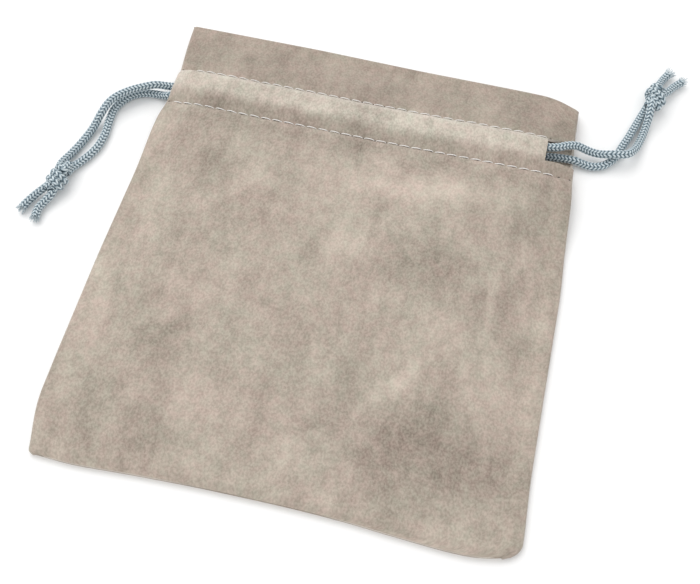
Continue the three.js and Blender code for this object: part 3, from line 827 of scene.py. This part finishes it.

# Where the front's nap has been brushed, with two long bands of painted shade along the lower stitch row at
# the end: x, y, half length, half width, turn in degrees, lighter or darker.
FRONT_NAP_AND_SHADE_MARKS = [
    (35, -45, 20, 15, 0, -0.25), (-28, 16, 16, 3.6, 52, 0.20), (18, 24, 34, 5.5, 5, 0.22),
    (28, 0, 20, 13, -20, -0.16), (4, 4, 9, 6, 35, 0.15), (4, -53, 11, 7, 30, 0.16),
    (-41, 19, 8, 5, 45, -0.16), (-36, -31, 14, 4.5, 40, -0.13), (42, -2, 13, 2.4, 92, 0.20),
    (27, -27, 19, 3, 49, 0.18), (-25, -57, 24, 4.5, 12, -0.12), (-55, -25, 32, 4.5, 92, 0.16),
    # The last two marks are long bands of painted shade, above and below the lower stitch row.
    (48, 10, 9, 2, 80, 0.16), (-46, 40, 5, 5, 0, -0.18), (0, 39, 75, 3.0, 0, -0.12),
    (0, 33.5, 75, 3.4, 0, -0.12),
]
BRUSHED_BACK = [(-x, -y, *rest) for x, y, *rest in FRONT_NAP_AND_SHADE_MARKS[3:12]]


# The suede's own numbers. NAP_MIX is how much each mask of the nap counts, and the low end of its range.
SUEDE_LIGHT, SUEDE_DARK = (0.615, 0.532, 0.449, 1), (0.215, 0.178, 0.144, 1)
NAP_MIX = {"Patches": (0.14, 0.34), "Strokes": (0.17, 0.3), "Mottle": (0.17, 0.3), "Grain": (0.29, 0.3)}
WANDER = 0.045
TINTS = [(2.2, 0.024), (14.0, 0.018)]
# Painted shade on the header and painted light on the puffed casing, both multiplied into the nap colour.
HEADER_PAINTED_SHADE, CASING_PAINTED_LIGHT = (0.84, 0.82, 0.81, 1), (1.26, 1.32, 1.34, 1)
# Painted shade in the needle holes, and how strongly it covers the nap.
HOLE_PAINTED_SHADE, HOLE_SHADE_STRENGTH = (0.07, 0.06, 0.055, 1), 0.85


def nap_and_shade_marks(tree, flat, marks, total):
    """Adds each brushed mark or band of painted shade to the nap, with its outline made ragged by a wandering
    noise.
    """
    ragged = add_node(tree, "ShaderNodeMapping", {"Vector": flat, "Scale": (22.0, 22.0, 22.0)}).outputs[0]
    wander = add_node(tree, "ShaderNodeTexNoise", {"Vector": ragged, "Scale": 1.0, "Detail": 3.0})
    pushed = add_node(tree, "ShaderNodeVectorMath", {
        0: wander.outputs["Color"], 1: (WANDER, WANDER, 0.0), 2: flat}, operation="MULTIPLY_ADD").outputs[0]
    for x, y, long, wide, turn, strength in marks:
        total = add_node(tree, "ShaderNodeGroup", {
            "Flat": pushed, "Place": (0.5 + x / FLAT + WANDER / 2, (y - BOTTOM) / FLAT + WANDER / 2, 0),
            "Turn": (0, 0, math.radians(turn)), "Size": (long / FLAT, wide / FLAT, 1),
            "Strength": strength, "Total": total}, node_tree=MARK).outputs["Total"]
    return total


def warm_and_cool(tree, flat, shift, colour):
    """The dye is a little warmer in some places and cooler in others."""
    for size, amount in TINTS:
        spot = add_node(tree, "ShaderNodeMapping", {
            "Vector": flat, "Location": (shift, 0, 0), "Scale": (FLAT / size, FLAT / size, 1)}).outputs[0]
        cloud = add_node(tree, "ShaderNodeTexNoise", {"Vector": spot, "Scale": 1.0}).outputs["Fac"]
        cool, warm = (1 - amount, 1 + amount / 2, 1, 1), (1 + amount, 1 - amount / 2, 1, 1)
        tint = colour_mix(tree, fade(tree, cloud, 0.3, 0.7), cool, warm)
        colour = colour_mix(tree, 1.0, colour, tint, "MULTIPLY")
    return colour


def suede(name, shift, marks):
    """One cloth's finish: its two nap colours, with painted light on the puffed casing and painted shade on
    the header. Its UV map is the cloth laid out flat, with one unit to FLAT millimetres."""
    finish, tree, shader = new_finish(name, Roughness=0.95, Specular_IOR_Level=0.12, Sheen_Weight=0.35,
                                      Sheen_Roughness=0.45)
    flat = add_node(tree, "ShaderNodeUVMap").outputs[0]
    nap = add_node(tree, "ShaderNodeGroup", {"Flat": flat, "Shift": shift}, node_tree=NAP).outputs
    total = 0.5 - sum(weight for weight, _ in NAP_MIX.values()) / 2
    for mask, (weight, low) in NAP_MIX.items():
        total = math_node(tree, "MULTIPLY_ADD", fade(tree, nap[mask], low, 1 - low), weight, total)
    colour = colour_mix(tree, nap_and_shade_marks(tree, flat, marks, total), SUEDE_DARK, SUEDE_LIGHT)
    colour = warm_and_cool(tree, flat, shift, colour)

    split = add_node(tree, "ShaderNodeSeparateXYZ", {"Vector": flat}).outputs
    up = split["Y"]
    row_low, row_high = (CASING_LOW - BOTTOM) / FLAT, (CASING_HIGH - BOTTOM) / FLAT
    # Painted shade darkens the header above the upper row; painted light brightens the casing between the
    # rows.
    header = fade(tree, up, row_high - 0.003, row_high + 0.012)
    colour = colour_mix(tree, header, colour, colour_mix(tree, 1.0, colour, HEADER_PAINTED_SHADE, "MULTIPLY"))
    above = fade(tree, up, row_low + 0.008, row_low + 0.028)
    below = fade(tree, up, row_high + 0.006, row_high - 0.006)
    band = math_node(tree, "MULTIPLY", above, below)
    colour = colour_mix(tree, band, colour, colour_mix(tree, 1.0, colour, CASING_PAINTED_LIGHT, "MULTIPLY"))

    # Painted shade: a dark dot in each needle hole along both stitch rows.
    sideways = math_node(tree, "MULTIPLY", math_node(tree, "SUBTRACT", split["X"], 0.5), FLAT / STITCH)
    from_hole = math_node(tree, "MULTIPLY", math_node(tree, "PINGPONG", sideways, 0.5), STITCH)
    for row in (row_low, row_high):
        from_row = math_node(tree, "MULTIPLY", math_node(tree, "SUBTRACT", up, row), FLAT)
        square = math_node(tree, "ADD", math_node(tree, "MULTIPLY", from_hole, from_hole),
                           math_node(tree, "MULTIPLY", from_row, from_row))
        colour = colour_mix(tree, fade(tree, square, 0.20, 0.04, 0.0, HOLE_SHADE_STRENGTH), colour, HOLE_PAINTED_SHADE)
    tree.links.new(colour, shader.inputs["Base Color"])
    pile = math_node(tree, "MULTIPLY_ADD", nap["Mottle"], 0.6, nap["Grain"])
    bump = add_node(tree, "ShaderNodeBump", {"Height": pile, "Strength": 0.5, "Distance": 0.00018}).outputs[0]
    tree.links.new(bump, shader.inputs["Normal"])
    return finish


def cut_edge_finish():
    """The cut edge of the cloth shows its paler knitted ground."""
    finish, tree, shader = new_finish("cut_cloth_edge", Roughness=0.95, Sheen_Weight=0.2)
    flat = add_node(tree, "ShaderNodeUVMap").outputs[0]
    sized = add_node(tree, "ShaderNodeMapping", {"Vector": flat, "Scale": (500.0, 500.0, 500.0)}).outputs[0]
    knit = add_node(tree, "ShaderNodeTexNoise", {"Vector": sized, "Scale": 1.0, "Detail": 2.0}).outputs["Fac"]
    ground = colour_mix(tree, knit, (0.47, 0.40, 0.34, 1), (0.72, 0.66, 0.59, 1))
    tree.links.new(ground, shader.inputs["Base Color"])
    return finish


front_suede = suede("front_suede", 3.7, FRONT_NAP_AND_SHADE_MARKS)
back_suede = suede("back_suede", 17.2, BRUSHED_BACK)
cut_edge = cut_edge_finish()

# A slot is its layer, the x that it opens from outwards, and its low and high sides as (y, climb per mm).
# Only the front's right slot shows outside. The hems stop short of the sides so that the cords can turn.
OPEN_SLOT = (OUTER, 48.9, (39.9, 0.15), (48.0, 0.28))
RIGHT_HEM_END, LEFT_HEM_END = 41.5, -46.2
HEM_SLOT_LOW = (37.6, 0)
front_right_slots = [OPEN_SLOT, (HEM, RIGHT_HEM_END, HEM_SLOT_LOW, (49.6, 0))]
left_slots = [(HEM, LEFT_HEM_END, HEM_SLOT_LOW, (48.2, 0))]
back_right_slots = [(HEM, RIGHT_HEM_END, HEM_SLOT_LOW, (48.6, 0))]
front_right = cloth_half("front", 1, front_right_slots, [front_suede, cut_edge])
front_left = cloth_half("front", -1, left_slots, [front_suede, cut_edge])
back_right = cloth_half("back", 1, back_right_slots, [back_suede, cut_edge])
back_left = cloth_half("back", -1, left_slots, [back_suede, cut_edge])


# ---------------------------------------------------------------- the casing's stitch rows
# Lockstitch in pale polyester thread, about 3.3 mm a stitch: needle thread outside, bobbin thread on
# the hem side. Each stitch lies on the nap and dives into its needle holes.
THREAD = 0.34
THREAD_SIDES, THREAD_STEPS, THREAD_TIP = 6, 7, 0.62
THREAD_SHADED, THREAD_LIT = (0.62, 0.585, 0.55, 1), (0.88, 0.86, 0.84, 1)

# Needle stitches from the centre line outwards on each panel and side. The lower row has one more.
NEEDLE_STITCHES = {("front", 1): 15, ("front", -1): 16, ("back", 1): 15, ("back", -1): 15}
BOBBIN_STITCHES = 12

# A stitch's arch: how far along it each point is, and its height above where the thread lies.
STITCH_ARCH = [(0.03, -0.30), (0.14, 0.06), (0.5, 0.15), (0.84, 0.06), (0.94, -0.30)]

thread_finish, tree, shader = new_finish("pale_thread", Roughness=0.6, Specular_IOR_Level=0.35,
                                         Sheen_Weight=0.1)
along_thread = add_node(tree, "ShaderNodeUVMap").outputs[0]
turned = add_node(tree, "ShaderNodeMapping", {
    "Vector": along_thread, "Rotation": (0, 0, 0.7), "Scale": (1200.0, 1200.0, 1.0)}).outputs[0]
ply = add_node(tree, "ShaderNodeTexWave", {"Vector": turned, "Scale": 1.0, "Distortion": 0.5}).outputs["Fac"]
tree.links.new(colour_mix(tree, ply, THREAD_SHADED, THREAD_LIT), shader.inputs["Base Color"])


def lay_stitch(bm, points, thick):
    """One stitch: a short soft tube, thinner where it goes into the cloth at both ends."""
    line = smooth_line(points, (Vector(points[-1]) - Vector(points[0])).length / THREAD_STEPS)
    last = len(line) - 1
    size = lambda k, turn, along: (thick / 2 * mix(THREAD_TIP, 1, math.sin(math.pi * k / last)), 1.0)
    roll_tube(bm, line, frames(line), THREAD_SIDES, size)


def stitch_row(panel, place, row, side, hem):
    """Half of one row, from the centre line outwards."""
    t = row - BOTTOM
    stitches = NEEDLE_STITCHES[panel, side] + (1 if row == CASING_LOW else 0)
    if hem:
        t = 2 * outer_length(panel) + FOLD_LENGTH - t
        stitches = BOBBIN_STITCHES
    outwards = PANELS[panel]["up"] * (-1 if hem else 1)
    lift = CLOTH / 2 + THREAD * 0.32
    bm = bmesh.new()
    for k in range(stitches):
        points = []
        for f, height in STITCH_ARCH:
            p = cloth_place(panel, side, (k + f) * STITCH / (half_width(side, row) - OUTER_TURN), t)
            p.z += outwards * (lift + height)
            points.append(p)
        lay_stitch(bm, points, THREAD)
    kind, word = "bobbin" if hem else "needle", "right" if side > 0 else "left"
    piece = finish_mesh(f"{panel}_{place}_{kind}_stitches_{word}", bm, [thread_finish])
    gather(piece)
    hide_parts(f"{panel}_{place}_row_{kind}_thread")


for panel in ("front", "back"):
    for place, row in (("lower", CASING_LOW), ("upper", CASING_HIGH)):
        for side in (-1, 1):
            for hem in (False, True):
                stitch_row(panel, place, row, side, hem)


# ---------------------------------------------------------------- the seams
# The panels are sewn together inside out along both sides and the bottom, and above the two slots, so
# only a dark line shows between the layers. The thread lies between them, 1.6 mm in from the side edge.
SEAM_THREAD, SEAM_STITCH, SEAM_ARCH = 0.2, 2.4, 0.05
SEAM_INSET = 1.6
SEAM_Z, HEADER_SEAM_Z = 0.75, 1.65
SIDE_SEAM_YS, HEADER_SEAM_YS = (-58, -30, 0, 15, 31), (53.4, 57, 61)
BOTTOM_SEAM = [(0, -63.0), (30, -63.8), (52, -64.0), (56.2, -62)]
seam_finish, tree, shader = new_finish("seam_thread", Roughness=0.8, Sheen_Weight=0.1)
place_on_seam = add_node(tree, "ShaderNodeTexCoord").outputs["Object"]
worn = add_node(tree, "ShaderNodeTexNoise", {"Vector": place_on_seam, "Scale": 2500.0}).outputs["Fac"]
seam_colour = colour_mix(tree, worn, (0.26, 0.22, 0.18, 1), (0.42, 0.36, 0.30, 1))
tree.links.new(seam_colour, shader.inputs["Base Color"])


def seam_line(name, node, points):
    """A run of small stitches through the given points, each a short tube that rises a little."""
    bm = bmesh.new()
    line = smooth_line(points, SEAM_STITCH)
    for a, b in zip(line, line[1:]):
        lay_stitch(bm, [a, a.lerp(b, 0.5) + Vector((0, 0, SEAM_ARCH)), b], SEAM_THREAD)
    piece = finish_mesh(name, bm, [seam_finish])
    gather(piece)
    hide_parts(node)


for word, side in (("left", -1), ("right", 1)):
    base = [(side * x, y, SEAM_Z) for x, y in BOTTOM_SEAM]
    up_side = [(side * (half_width(side, y) - SEAM_INSET), y, SEAM_Z) for y in SIDE_SEAM_YS]
    seam_line(f"seam_stitches_{word}", "side_and_bottom_seam_thread", base + up_side)
    header = [(side * (half_width(side, y) - SEAM_INSET), y, HEADER_SEAM_Z) for y in HEADER_SEAM_YS]
    seam_line(f"header_seam_stitches_{word}", f"{word}_header_seam_thread", header)
